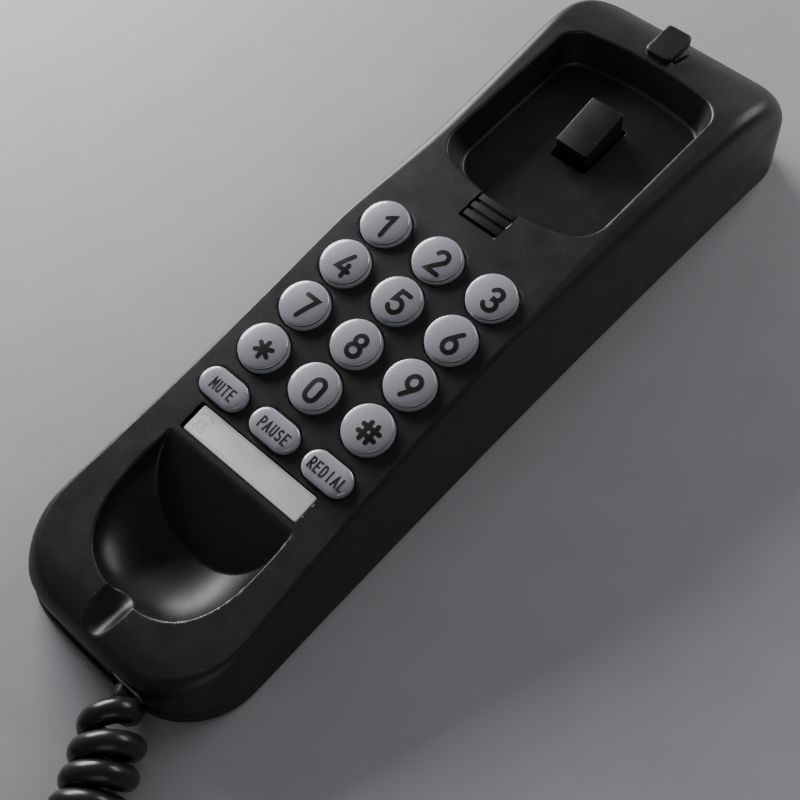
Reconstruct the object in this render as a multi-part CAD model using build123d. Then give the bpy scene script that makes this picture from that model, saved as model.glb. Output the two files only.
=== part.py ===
"""Cradle unit of a slim corded telephone: housing, dial, hook switch, electronics and curly handset cord.

The frame: +X to the right of the dial, +Y towards the ear end, +Z up, origin on the table under the
middle of the body. Lengths are in millimetres.
"""
from build123d import *
import math
import os

# ---- driving dimensions -------------------------------------------------------------------------
FOOT = 1.0                 # the feet stand out this far below the body
MOUTH_END, EAR_END = -106.3, 105.0
DIAL_Y, DIAL_Z = -18.0, 29.0   # middle of the dial, on the top face
DIAL_TILT = 10.5           # degrees that the dial's face rises towards the ear end
EAR_TILT = 4.0             # the same for the face round the ear recess
BREAK_RUN = 12.4           # the two faces meet this far past the middle of the dial
WALL = 2.2                 # thickness of the housing
FLOOR, LIP = 2.2, 5.5      # the lower cover's floor and the lip that stands up inside the housing
BAND = 3.0                 # height of the lower cover's edge, the band below the parting line

# half widths of the body at its foot and at a level ROOF above the foot, for three stations along it
STATIONS_Y = (-78.0, -6.0, 57.0)
FOOT_HALF = (29.9, 27.8, 27.2)
ROOF_HALF = (22.6, 24.4, 28.0)
ROOF = 45.0
MOUTH_CORNER, EAR_CORNER = 18.0, 10.5  # radii of the body's corners, seen from above
MOUTH_BOW, EAR_BOW = 1.5, 1.0          # the ends' middles stand this far out past their corners
EAR_LEAN = 0.2                         # the ear end leans in this much for each millimetre up
CROWN_Y, EAR_LOW = 71.0, 6.0           # the top face falls from here to this height at the ear end

KEY_PITCH_X, KEY_PITCH_Y = 15.5, 13.0
KEY_R = 5.75
KEY_TRAVEL = 1.2
KEY_DOME_R = 22.0          # radius of a round key's domed top
KEY_RISE = 1.7             # the key's rim stands this far above the face, and its dome more
KEY_GAP = 0.35             # between a key and its hole
PILL_LONG, PILL_WIDE = 12.4, 7.0
PILL_ROW_Y = -31.8         # function keys, from the middle of the dial along its face

LABEL_LONG, LABEL_WIDE, LABEL_Y = 35.0, 7.2, -40.2
LABEL_DEPTH = 1.3

RECESS_Y0, RECESS_Y1 = 21.8, 76.3      # the ear recess's rim at the body's middle
RECESS_HALF, RECESS_DEPTH = 21.8, 8.5
RECESS_DRAFT = 1.3                     # each side wall leans in this far
TAB_HALF, TAB_Y0, TAB_Y1 = 3.45, 76.0, 87.6

BOWL_Y, BOWL_A, BOWL_B, BOWL_DEPTH = -54.0, 18.8, 23.5, 11.0
BOWL_EDGE_Y = -45.6                    # its straight edge
BOWL_POWER = 2.6
BOWL_RAMP = 0.65                       # slope of the flat ramp below the straight edge
NOTCH_R = 4.0

BUTTON_HALF, BUTTON_Y0, BUTTON_Y1 = 4.5, 46.6, 60.2
BUTTON_LOW, BUTTON_HIGH = 4.3, 6.7     # heights of its two ends over the recess floor
PIN_R = 1.0

HOOK_HALF, HOOK_Y0, HOOK_Y1 = 5.4, 13.9, 21.9
HOOK_SLOT_DEPTH = 5.2

COIL_OD, CORD_D = 15.5, 5.2
JACK_X, JACK_Z = 12.0, 5.4
RINGER_Z = 12.6            # height of the ringer slider

os.makedirs("parts", exist_ok=True)
RIGHT = (1, 0, 0)


def rad(degrees):
    return math.radians(degrees)


# ---- frames -------------------------------------------------------------------------------------
def dial_plane(lift=0.0):
    """The dial's face, or a plane `lift` above it; its x is the row's +X and its y runs up the slope."""
    normal = Vector(0, -math.sin(rad(DIAL_TILT)), math.cos(rad(DIAL_TILT)))
    return Plane(origin=Vector(0, DIAL_Y, DIAL_Z) + normal * lift, x_dir=RIGHT, z_dir=normal)


BREAK_Y = DIAL_Y + BREAK_RUN
BREAK_Z = DIAL_Z + BREAK_RUN * math.tan(rad(DIAL_TILT))


def ear_z(y):
    """Height of the face round the ear recess."""
    return BREAK_Z + (y - BREAK_Y) * math.tan(rad(EAR_TILT))


def dial_z(y):
    """Height of the dial's plane."""
    return DIAL_Z + (y - DIAL_Y) * math.tan(rad(DIAL_TILT))


def ear_plane(y, lift=0.0):
    """A plane parallel to the ear recess's face over the station y."""
    normal = Vector(0, -math.sin(rad(EAR_TILT)), math.cos(rad(EAR_TILT)))
    return Plane(origin=Vector(0, y, ear_z(y)) + normal * lift, x_dir=RIGHT, z_dir=normal)


def face_drop(along):
    """How far the top face lies below the dial's plane at a distance along the dial from its middle."""
    past = max(0.0, along - BREAK_RUN)
    return past * math.tan(rad(DIAL_TILT - EAR_TILT))


def save(node, shape):
    shape.label = node
    export_step(shape, f"parts/{node}.step")
    print(f"{node:24s} {shape.volume:10.1f} mm3")
    return shape


# ---- the body's form ----------------------------------------------------------------------------
def across(y, halves):
    """The half width at y, on the parabola through the half widths at the three stations."""
    s, a, b = y - STATIONS_Y[1], STATIONS_Y[0] - STATIONS_Y[1], STATIONS_Y[2] - STATIONS_Y[1]
    bend = ((halves[0] - halves[1]) / a - (halves[2] - halves[1]) / b) / (a - b)
    return halves[1] + ((halves[0] - halves[1]) / a - bend * a) * s + bend * s * s


def plan_face(level, inset):
    """The body's outline seen from above, at a height over its foot."""
    t = level / ROOF
    halves = [a + (b - a) * t - inset for a, b in zip(FOOT_HALF, ROOF_HALF)]
    y_mouth, y_ear = MOUTH_END + inset, EAR_END - inset - EAR_LEAN * level
    y_side_m, y_side_e = y_mouth + MOUTH_BOW, y_ear - EAR_BOW
    side_m = Vector(across(y_side_m, halves), y_side_m)
    side_e = Vector(across(y_side_e, halves), y_side_e)
    right = ThreePointArc(side_m, (halves[1], STATIONS_Y[1]), side_e)
    left = ThreePointArc((-side_e.X, side_e.Y), (-halves[1], STATIONS_Y[1]), (-side_m.X, side_m.Y))
    top = ThreePointArc(side_e, (0, y_ear), (-side_e.X, side_e.Y))
    bottom = ThreePointArc((-side_m.X, side_m.Y), (0, y_mouth), side_m)
    face = make_face([right, top, left, bottom])
    corners = face.vertices().sort_by(Axis.Y)
    face = fillet(corners[:2], MOUTH_CORNER - inset)
    face = fillet(face.vertices().sort_by(Axis.Y)[-2:], EAR_CORNER - inset)
    return Pos(0, 0, FOOT + level) * face


def profile_face(inset, low):
    """The body's outline seen from the side, from a height `low` up."""
    s, c = math.sin(rad(DIAL_TILT)), math.cos(rad(DIAL_TILT))
    es, ec = math.sin(rad(EAR_TILT)), math.cos(rad(EAR_TILT))
    y_mouth, y_ear = MOUTH_END + inset, EAR_END - inset
    nose = -93.6
    start = (y_mouth, 5.6)
    nose_top = (nose + inset * s, dial_z(nose) - inset * c)
    tangent_in = (BREAK_Y - 9.0, dial_z(BREAK_Y - 9.0) - inset)
    tangent_out = (BREAK_Y + 9.0, ear_z(BREAK_Y + 9.0) - inset)
    crown = (CROWN_Y + inset * es, ear_z(CROWN_Y) - inset * ec)
    ear_low = (y_ear, EAR_LOW)
    nose_curve = Spline(start, nose_top, tangents=[(0, 1), (c, s)], tangent_scalars=[0.9, 1.1])
    dial_line = Line(nose_top, tangent_in)
    blend = TangentArc(tangent_in, tangent_out, tangent=(c, s))
    ear_line = Line(tangent_out, crown)
    ear_curve = Spline(crown, ear_low, tangents=[(ec, es), (0, -1)], tangent_scalars=[1.2, 1.15])
    rest = Polyline(ear_low, (y_ear, low), (y_mouth, low), start)
    flat = make_face([nose_curve, dial_line, blend, ear_line, ear_curve, rest])
    return Plane(origin=(-40, 0, 0), x_dir=(0, 1, 0), z_dir=(1, 0, 0)) * flat


def body_form(inset, low):
    """The whole body as one solid, drawn in by `inset`, from a height `low` up."""
    plan = loft([plan_face(0, inset), plan_face(ROOF, inset)])
    return plan & extrude(profile_face(inset, low), 80)


# ---- openings in the housing --------------------------------------------------------------------
def recess_outline(y0, y1, half, sag_low, sag_high, corner, y, lift):
    """A flat outline with two straight sides and two bowed ends, on a plane over the ear face."""
    plane = ear_plane(y, lift)
    low, high = y0 - y, y1 - y
    a, b = (-half, low + sag_low), (half, low + sag_low)
    c, d = (half, high - sag_high), (-half, high - sag_high)
    face = make_face([ThreePointArc(a, (0, low), b), Line(b, c), ThreePointArc(c, (0, high), d), Line(d, a)])
    return plane * fillet(face.vertices(), corner)


def recess_form(grow, below):
    """The ear recess as a solid, grown by `grow` for its tub, down to `below` under the recess's rim."""
    mid = (RECESS_Y0 + RECESS_Y1) / 2
    half = RECESS_HALF + grow
    rim = recess_outline(RECESS_Y0 - grow, RECESS_Y1 + grow, half, 4.4, 3.2, 5.0 + grow, mid, 0)
    lean = RECESS_DRAFT * below / RECESS_DEPTH
    floor = recess_outline(RECESS_Y0 - grow + 4.0, RECESS_Y1 + grow - 2 * lean, half - lean,
                           4.6, 3.0, 4.2 + grow, mid, -below)
    over = recess_outline(RECESS_Y0 - grow - 1, RECESS_Y1 + grow + 0.5, half + 0.5,
                          4.4, 3.2, 5.2 + grow, mid, 4)
    return loft([floor, rim]) + loft([rim, over])


def bowl_ring(depth, grow):
    """The mouth bowl's outline at a depth under the dial's plane: a closed curve, squarer than an ellipse."""
    share = math.sqrt(max(0.0, 1 - (depth / (BOWL_DEPTH + grow)) ** 2)) if depth > 0 else 1.0
    points = []
    for i in range(20):
        turn = 2 * math.pi * i / 20
        c, s = math.cos(turn), math.sin(turn)
        reach = (abs(c) ** BOWL_POWER + abs(s) ** BOWL_POWER) ** (-1 / BOWL_POWER) * share
        points.append(((BOWL_A + grow) * reach * c, BOWL_Y + (BOWL_B + grow) * reach * s))
    return dial_plane(-depth) * make_face(Spline(points, periodic=True))


def bowl_form(grow):
    """The scooped bowl as a solid, cut off by the ramp under its straight edge."""
    full = BOWL_DEPTH + grow
    depths = [share * full for share in (0, 0.25, 0.5, 0.72, 0.88, 0.97)]
    scoop = loft([bowl_ring(d, grow) for d in reversed(depths)])
    over = extrude(bowl_ring(0, grow), 9)
    edge = BOWL_EDGE_Y + grow
    reach = 60.0
    ramp = Polyline((edge, 0), (edge - reach, -BOWL_RAMP * reach), (edge + 40, -BOWL_RAMP * reach),
                    (edge + 40, 20), (edge, 20), close=True)
    side = Plane(origin=dial_plane().origin + Vector(-60, 0, 0), x_dir=dial_plane().y_dir, z_dir=RIGHT)
    return scoop + over - extrude(side * make_face(ramp), 120)


def notch_form():
    """The half-round groove for the handset's cord, level, out through the mouth end of the bowl."""
    along = BOWL_Y - BOWL_B
    y = DIAL_Y + along * math.cos(rad(DIAL_TILT))
    z = DIAL_Z + along * math.sin(rad(DIAL_TILT)) + 1.0
    groove = Cylinder(NOTCH_R, 26, rotation=(90, 0, 0))
    return Pos(0, y - 4, z) * groove + Pos(0, y - 4, z + 5) * Box(2 * NOTCH_R, 26, 10)


def key_places():
    """Name, x and distance along the dial of each round key."""
    names = ["1", "2", "3", "4", "5", "6", "7", "8", "9", "star", "0", "hash"]
    return [(n, (i % 3 - 1) * KEY_PITCH_X, (1.5 - i // 3) * KEY_PITCH_Y) for i, n in enumerate(names)]


def pill_places():
    return [(n, (i - 1) * KEY_PITCH_X, PILL_ROW_Y) for i, n in enumerate(["mute", "pause", "redial"])]


def on_dial(x, along, lift=0.0):
    """A frame on the top face at a place on the dial, square to the dial's plane."""
    return dial_plane(lift - face_drop(along)) * Pos(x, along, 0)


def pill(long, wide, high):
    return extrude(SlotOverall(long, wide), high)


def key_holes():
    """Holes for the keys, each wider on the underside so that the key's flange has room."""
    under = -WALL - 0.1
    holes = []
    for _, x, y in key_places():
        holes.append(on_dial(x, y) * Cylinder(KEY_R + KEY_GAP, 24))
        holes.append(on_dial(x, y, under - 3) * Cylinder(KEY_R + 1.1, 6))
    gap = 2 * KEY_GAP
    for _, x, y in pill_places():
        holes.append(on_dial(x, y, -12) * pill(PILL_LONG + gap, PILL_WIDE + gap, 24))
        holes.append(on_dial(x, y, under - 6) * pill(PILL_LONG + 2.0, PILL_WIDE + 2.0, 6))
    return holes


def hook_slot():
    """The slot that the handset hook sits in; it opens into the ear recess."""
    mid, long = (HOOK_Y0 + HOOK_Y1 + 4) / 2, HOOK_Y1 + 4 - HOOK_Y0
    return ear_plane(mid, 1 - HOOK_SLOT_DEPTH / 2) * Box(2 * HOOK_HALF, long, HOOK_SLOT_DEPTH + 2)


def hook_pocket():
    """The block of housing that the hook's slot is cut in."""
    mid, long = (HOOK_Y0 + HOOK_Y1) / 2, HOOK_Y1 - HOOK_Y0
    deep = HOOK_SLOT_DEPTH + 1.4
    return ear_plane(mid, -deep / 2 - 0.5) * Box(2 * HOOK_HALF + 3, long + 3, deep - 1.0)


def button_window():
    y = (BUTTON_Y0 + BUTTON_Y1) / 2
    return ear_plane(y + 0.5, -RECESS_DEPTH) * Box(2 * BUTTON_HALF + 0.8, BUTTON_Y1 - BUTTON_Y0 + 2.2, 12)


def side_slot():
    """The slot in the left wall for the ringer volume slider."""
    return Pos(-28, 40, RINGER_Z) * Box(14, 12, 4.4)


def jack_mouth(grow):
    """The handset jack's opening in the mouth end."""
    return Pos(JACK_X, MOUTH_END + 4, JACK_Z) * Box(7.9 + grow, 14, 6.8 + grow)


def line_mouth(grow):
    """The line jack's opening in the ear end, open down to the parting line."""
    return Pos(0, EAR_END - 4, 8.1) * Box(11.9 + grow, 14, 9.2 + grow)


# ---- shells -------------------------------------------------------------------------------------
def tab():
    """The tongue that carries the top face on over the falling ear end."""
    long = TAB_Y1 - TAB_Y0
    blade = extrude(SlotOverall(long, 2 * TAB_HALF), 1.9)
    mid = (TAB_Y0 + TAB_Y1) / 2
    square = Pos(0, -2, 0.95) * Box(2 * TAB_HALF, long - 4, 1.9)
    rounded = Rot(0, 0, 90) * blade + square
    return ear_plane(mid, -1.5) * rounded


def bosses():
    """Four screw posts that the lower cover is fastened to, up to the roof."""
    low = FOOT + BAND + 0.4
    post = Cylinder(3.2, ROOF - low, align=(Align.CENTER, Align.CENTER, Align.MIN))
    return [Pos(x, y, low) * post for x, y in screw_places()]


def screw_places():
    return [(-21.5, -90.0), (21.5, -90.0), (-16.5, 90.0), (16.5, 90.0)]


def upper_housing():
    outer = body_form(0, FOOT + BAND)
    inner = body_form(WALL, FOOT - 2)
    tub = recess_form(WALL, RECESS_DEPTH + WALL) & outer
    bowl = bowl_form(WALL) & outer
    shell = outer - inner + tub + bowl
    for post in bosses():
        shell += post & outer
    for lug in pin_lugs():
        shell += lug
    shell += hook_pocket()
    shell += tab()
    shell -= recess_form(0, RECESS_DEPTH)
    shell -= bowl_form(0)
    shell -= notch_form()
    shell -= on_dial(0, LABEL_Y, 5 - LABEL_DEPTH) * Box(LABEL_LONG, LABEL_WIDE, 10)
    for hole in key_holes():
        shell -= hole
    for cut in (hook_slot(), button_window(), side_slot(), jack_mouth(0.4), line_mouth(0.4)):
        shell -= cut
    shell -= hook_pin()
    for x, y in screw_places():
        shell -= Pos(x, y, FOOT + BAND + 5) * Cylinder(1.25, 12)
    solids = shell.solids().sort_by(SortBy.VOLUME)
    return Part() + solids[-1]


def keyholes():
    """Two keyhole slots for hanging the base on wall screws, one above the other."""
    cuts = []
    for y in (-45.0, 38.0):
        cuts.append(Pos(0, y - 5, FOOT) * Cylinder(4.5, 12))
        cuts.append(Pos(0, y, FOOT) * Box(4.4, 10, 12))
        cuts.append(Pos(0, y + 5, FOOT) * Cylinder(2.2, 12))
    return cuts


def lower_cover():
    """The plate under the body, with the edge that shows as a band and a lip inside the housing."""
    edge = loft([plan_face(0, 0.35), plan_face(BAND - 0.25, 0.35)])
    lip = extrude(Pos(0, 0, -LIP) * plan_face(LIP, WALL + 0.35), LIP)
    hollow = extrude(Pos(0, 0, FLOOR - LIP) * plan_face(LIP, WALL + 1.8), LIP)
    cover = edge + lip - hollow
    for x, y in screw_places():
        cover -= Pos(x, y, FOOT) * Cylinder(1.45, 20)
        cover -= Pos(x, y, FOOT) * Cylinder(3.1, 2.4)
        cover -= Pos(x, y, FOOT + BAND + 10.2) * Cylinder(3.5, 20)
    for cut in keyholes() + [jack_mouth(0.4), line_mouth(0.4), side_slot()]:
        cover -= cut
    for x, y in foot_places():
        cover -= Pos(x, y, FOOT) * Cylinder(4.3, 1.6)
    cover -= jack_room(0.3)
    cover -= line_room(0.3)
    return Part() + cover.solids().sort_by(SortBy.VOLUME)[-1]


def foot_places():
    return [(x, y) for x in (-19.0, 19.0) for y in (-72.0, 74.0)]


def jack_room(grow):
    """The room that the handset jack takes."""
    return Pos(JACK_X, MOUTH_END + 8.7, JACK_Z) * Box(11.4 + grow, 8.0 + grow, 7.4 + grow)


def line_room(grow):
    """The room that the line jack takes."""
    return Pos(0, EAR_END - 12.5, 9.2) * Box(15.0 + grow, 14.5 + grow, 12.0 + grow)


def feet():
    return [Pos(x, y, 0) * Pos(0, 0, 0.85) * Cylinder(4.0, 1.7) for x, y in foot_places()]


def screws():
    made = []
    for x, y in screw_places():
        head = Pos(x, y, FOOT + 0.55) * Cylinder(2.8, 1.1)
        shank = Pos(x, y, FOOT + 5.0) * Cylinder(1.2, 9.0)
        slot = Pos(x, y, FOOT) * Box(3.6, 0.7, 1.0) + Pos(x, y, FOOT) * Box(0.7, 3.6, 1.0)
        made.append(head + shank - slot)
    return made


# ---- dial ---------------------------------------------------------------------------------------
def round_key(x, along):
    """A clear cap with a shallow dome, and the flange that holds it under the housing."""
    rim = KEY_RISE + WALL + 0.4
    edge = KEY_R - 0.35
    centre = rim - math.sqrt(KEY_DOME_R ** 2 - edge ** 2)
    crown = centre + KEY_DOME_R
    half = edge / 2
    outline = [Line((0, -1.0), (KEY_R + 0.75, -1.0)), Line((KEY_R + 0.75, -1.0), (KEY_R + 0.75, 0)),
               Line((KEY_R + 0.75, 0), (KEY_R, 0)), Line((KEY_R, 0), (KEY_R, rim - 0.4)),
               Line((KEY_R, rim - 0.4), (edge, rim)),
               ThreePointArc((edge, rim), (half, centre + math.sqrt(KEY_DOME_R ** 2 - half ** 2)), (0, crown)),
               Line((0, crown), (0, -1.0))]
    return on_dial(x, along, -WALL - 0.4) * revolve(Plane.XZ * make_face(outline), Axis.Z)


def pill_key(x, along):
    high = KEY_RISE * 0.8 + WALL + 0.4
    cap = pill(PILL_LONG, PILL_WIDE, high)
    cap = fillet(cap.faces().sort_by(Axis.Z)[-1].edges(), 0.6)
    flange = Pos(0, 0, -1.0) * pill(PILL_LONG + 1.4, PILL_WIDE + 1.4, 1.0)
    return on_dial(x, along, -WALL - 0.4) * (cap + flange)


MAT_TOP = -WALL - 0.4 - 1.0 - KEY_TRAVEL - 0.4   # the domes' tops, below the dial's face
MAT_BASE = MAT_TOP - 1.6


def keypad_mat():
    """Rubber sheet with a dome under each key."""
    sheet = dial_plane(MAT_BASE - 1.0) * Pos(0, -5.0, 0.5) * Box(42, 61, 1.0)
    for _, x, along in key_places():
        dome = Cone(3.4, 2.4, 1.7 - face_drop(along), align=(Align.CENTER, Align.CENTER, Align.MIN))
        sheet += dial_plane(MAT_BASE - 0.05) * Pos(x, along, 0) * dome
    for _, x, along in pill_places():
        dome = Cone(2.8, 2.0, 1.6, align=(Align.CENTER, Align.CENTER, Align.MIN))
        sheet += dial_plane(MAT_BASE - 0.05) * Pos(x, along, 0) * dome
    return sheet


def keypad_board():
    return dial_plane(MAT_BASE - 1.0 - 1.6) * Pos(0, -5.0, 0.8) * Box(42, 61, 1.6)


def label_card():
    bottom = on_dial(0, LABEL_Y, -LABEL_DEPTH + 0.01)
    return bottom * Pos(0, 0, 0.15) * Box(LABEL_LONG - 0.4, LABEL_WIDE - 0.4, 0.3)


def label_window():
    bottom = on_dial(0, LABEL_Y, -LABEL_DEPTH + 0.31)
    return bottom * Pos(0, 0, 0.3) * Box(LABEL_LONG - 0.3, LABEL_WIDE - 0.3, 0.6)


# ---- hook switch --------------------------------------------------------------------------------
HINGE_Y = BUTTON_Y0 + 1.4
HINGE_Z = ear_z(HINGE_Y) - RECESS_DEPTH - WALL - 2.2


def hook_button():
    """The wedge that the handset's ear end presses, its stop flange, hinge barrel and switch finger."""
    mid = (BUTTON_Y0 + BUTTON_Y1) / 2
    long = BUTTON_Y1 - BUTTON_Y0
    floor = -RECESS_DEPTH
    side = Polyline((-long / 2, floor - WALL - 0.4), (-long / 2, floor + BUTTON_LOW),
                    (long / 2, floor + BUTTON_HIGH), (long / 2, floor - WALL - 0.4), close=True)
    wedge = extrude(Plane(origin=(-BUTTON_HALF, 0, 0), x_dir=(0, 1, 0), z_dir=RIGHT) * make_face(side),
                    2 * BUTTON_HALF)
    wedge = fillet(wedge.edges().filter_by(Axis.Z), 0.5)
    wedge = ear_plane(mid) * wedge
    stop = ear_plane(mid + 3.0, floor - WALL - 0.9) * Box(2 * BUTTON_HALF + 3, 8.4, 1.0)
    web = Pos(0, HINGE_Y + 1.5, HINGE_Z + 1.3) * Box(5, 5, 2.2)
    barrel = Pos(0, HINGE_Y, HINGE_Z) * Cylinder(2.0, 5.0, rotation=(0, 90, 0))
    finger = Pos(0, BUTTON_Y1 - 1.6, HINGE_Z - 0.4) * Box(2.4, 2.0, 5.6)
    bore = Pos(0, HINGE_Y, HINGE_Z) * Cylinder(PIN_R + 0.05, 30, rotation=(0, 90, 0))
    return wedge + stop + web + barrel + finger - bore


def hook_pin():
    return Pos(0, HINGE_Y, HINGE_Z) * Cylinder(PIN_R, 18.8, rotation=(0, 90, 0))


def pin_lugs():
    """Two lugs on the recess tub's underside that hold the hinge pin."""
    return [Pos(x, HINGE_Y, HINGE_Z + 1.3) * Box(2.4, 5.0, 6.2) for x in (-8.2, 8.2)]


BOARD_Z = HINGE_Z - 14.1


def main_board():
    return Pos(0, 49, BOARD_Z + 0.8) * Box(42, 70, 1.6)


def hook_switch():
    """The switch that the button's finger works, on the main board."""
    body = Pos(0, BUTTON_Y1 - 2.0, BOARD_Z + 1.6 + 2.4) * Box(6.4, 9.6, 4.8)
    plunger = Pos(0, BUTTON_Y1 - 1.6, BOARD_Z + 6.3) * Box(1.6, 2.4, 0.8)
    return body + plunger


def switch_leaf():
    """The springy leaf over the switch's plunger."""
    y0, y1 = BUTTON_Y1 - 6.4, BUTTON_Y1 + 2.4
    z = BOARD_Z + 6.4
    side = Polyline((y0, z), (y0 + 1.6, z), (y1, z + 1.0), (y1, z + 1.3), (y0 + 1.5, z + 0.3), (y0, z + 0.3),
                    close=True)
    return extrude(Plane(origin=(-1.2, 0, 0), x_dir=(0, 1, 0), z_dir=RIGHT) * make_face(side), 2.4)


def hook_insert():
    """The hook that catches the handset on a wall: a ribbed block that slides towards the recess."""
    long = HOOK_Y1 - HOOK_Y0 - 0.9
    mid = HOOK_Y0 + 0.9 + long / 2
    block = Box(2 * HOOK_HALF - 0.6, long, 4.6)
    for y in (-1.3, 1.3):
        block -= Pos(0, y, 2.3) * Box(12, 0.7, 0.9)
    return ear_plane(mid, -2.6) * block


# ---- electronics --------------------------------------------------------------------------------
def ringer():
    return Pos(-8, 28, BOARD_Z + 1.6 + 2.0) * Cylinder(8.0, 4.0)


def ringer_switch():
    high = 2 * (RINGER_Z - BOARD_Z - 1.6)
    return Pos(-18.2, 40, RINGER_Z) * Box(5.6, 13, high)


def ringer_slider():
    """The knob in the left wall; it slides along the wall."""
    return Pos(-25.0, 40, RINGER_Z) * Box(6.2, 5.0, 3.6)


def handset_jack():
    shell = jack_room(0)
    return shell - jack_mouth(0)


def line_jack():
    return line_room(0) - Pos(0, EAR_END - 10.5, 8.6) * Box(11.9, 13.0, 8.2)


def ballast():
    return Pos(0, -3, FOOT + 2.2 + 1.6) * Box(36, 46, 3.0)


# ---- handset cord -------------------------------------------------------------------------------
COIL_Z = COIL_OD / 2 + 0.05
PLUG_FACE_Y = MOUTH_END + 1.2
ROUTE = [(16.2, -111.2), (24.2, -122.6), (30, -136), (26.5, -156), (15.5, -176), (13, -196), (22.8, -208.6),
         (22.8, -224.6), (11.5, -235.9), (-4.5, -235.9), (-15.8, -224.6), (-15.8, -208.6), (-6, -196),
         (-5.5, -177), (-10, -159.5)]
TAIL_END = (-14.4, -143.2)
TIE_X, TIE_Y = 4.5, -188.0


def route_radii(points):
    """For each corner, the largest arc its two runs allow."""
    radii = []
    for a, b, c in zip(points, points[1:], points[2:]):
        first, second = Vector(*b) - Vector(*a), Vector(*c) - Vector(*b)
        turn = math.radians(first.get_angle(second))
        shorter = min(first.length, second.length)
        radii.append(0.45 * shorter / math.tan(turn / 2))
    return radii


def tube(points, diameter):
    """A round tube along straight runs joined by tangent arcs."""
    radii = route_radii(points)
    print("radii", [round(r, 1) for r in radii])
    path = FilletPolyline(*points, radius=radii) if radii else Line(*points)
    start = Vector(*points[1]) - Vector(*points[0])
    section = Plane(origin=points[0], z_dir=start) * Circle(diameter / 2)
    made = sweep(section, path=path)
    ideal = math.pi * diameter ** 2 / 4 * path.length
    print(f"length {path.length:.1f} volume {made.volume:.0f} section times length {ideal:.0f}")
    return made


def curly_cord():
    return tube([(x, y, COIL_Z) for x, y in ROUTE], COIL_OD)


def near_tail():
    """The short cord from the plug in the base to the first turn."""
    x, y = ROUTE[0]
    return tube([(JACK_X, PLUG_FACE_Y, JACK_Z), (x, y, COIL_Z)], CORD_D)


def far_tail():
    (x, y), (x1, y1) = ROUTE[-1], TAIL_END
    dx, dy = x1 - x, y1 - y
    points = [(x, y, COIL_Z), (x + 0.4 * dx, y + 0.45 * dy, 5.6), (x1, y1, CORD_D / 2 + 0.6)]
    return tube(points, CORD_D)


def near_plug():
    """The modular plug in the handset jack."""
    long = 9.4
    return Pos(JACK_X, PLUG_FACE_Y + long / 2, JACK_Z) * Box(7.5, long, 6.2)


def far_plug():
    """The modular plug that goes into the handset."""
    (x, y), (x1, y1) = ROUTE[-1], TAIL_END
    heading = math.degrees(math.atan2(y1 - y, x1 - x))
    body = Pos(5.9, 0, 0) * Box(11.8, 7.6, 6.2)
    latch = Pos(6.5, 0, 3.5) * Box(9.0, 3.2, 0.8)
    return Pos(x1, y1, 3.2) * Rot(0, 0, heading) * (body + latch)


def cord_tie():
    """A strap round both legs of the folded coil."""
    middle = Pos(TIE_X, TIE_Y, COIL_OD / 2 + 0.5)
    outer = middle * Box(37.6, 6.0, COIL_OD + 0.9)
    outer = fillet(outer.edges().filter_by(Axis.Y), 7.8)
    inner = middle * Box(36.0, 8.0, COIL_OD - 0.7)
    inner = fillet(inner.edges().filter_by(Axis.Y), 7.0)
    return outer - inner


# ---- write the nodes ----------------------------------------------------------------------------
def group(solids):
    return Compound(children=[s.solids()[0] if isinstance(s, Part) else s for s in solids])


def main():
    save("upper_housing", upper_housing())
    save("lower_cover", lower_cover())
    save("hook_insert", hook_insert())
    save("hook_button", hook_button())
    save("hook_pin", hook_pin())
    save("hook_switch", hook_switch())
    save("switch_leaf", switch_leaf())
    for name, x, along in key_places():
        save(f"key_{name}", round_key(x, along))
    for name, x, along in pill_places():
        save(f"key_{name}", pill_key(x, along))
    save("keypad_mat", keypad_mat())
    save("keypad_board", keypad_board())
    save("main_board", main_board())
    save("label_card", label_card())
    save("label_window", label_window())
    save("ringer", ringer())
    save("ringer_switch", ringer_switch())
    save("ringer_slider", ringer_slider())
    save("handset_jack", handset_jack())
    save("line_jack", line_jack())
    save("ballast_plate", ballast())
    save("rubber_feet", group(feet()))
    save("cover_screws", group(screws()))
    save("near_plug", near_plug())
    save("near_tail", near_tail())
    save("curly_cord", curly_cord())
    save("far_tail", far_tail())
    save("far_plug", far_plug())
    save("cord_tie", cord_tie())


main()
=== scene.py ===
"""Looks of a slim telephone's cradle unit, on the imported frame. The shape code is in millimetres."""
import math

import bmesh
import bpy
import numpy as np
from mathutils import Matrix, Vector


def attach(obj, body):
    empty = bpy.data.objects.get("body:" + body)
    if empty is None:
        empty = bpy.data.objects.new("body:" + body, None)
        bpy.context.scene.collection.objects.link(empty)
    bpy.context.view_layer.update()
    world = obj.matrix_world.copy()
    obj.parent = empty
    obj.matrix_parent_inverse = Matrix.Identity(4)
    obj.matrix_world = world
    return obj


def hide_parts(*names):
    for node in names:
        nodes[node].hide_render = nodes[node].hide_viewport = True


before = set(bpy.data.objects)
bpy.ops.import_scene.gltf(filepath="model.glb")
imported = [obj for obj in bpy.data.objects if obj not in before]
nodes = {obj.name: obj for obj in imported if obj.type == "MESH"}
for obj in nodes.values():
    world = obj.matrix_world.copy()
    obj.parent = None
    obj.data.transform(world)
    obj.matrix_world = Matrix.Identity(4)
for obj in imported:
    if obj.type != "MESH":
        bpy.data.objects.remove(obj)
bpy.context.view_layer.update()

MM = 0.001

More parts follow.
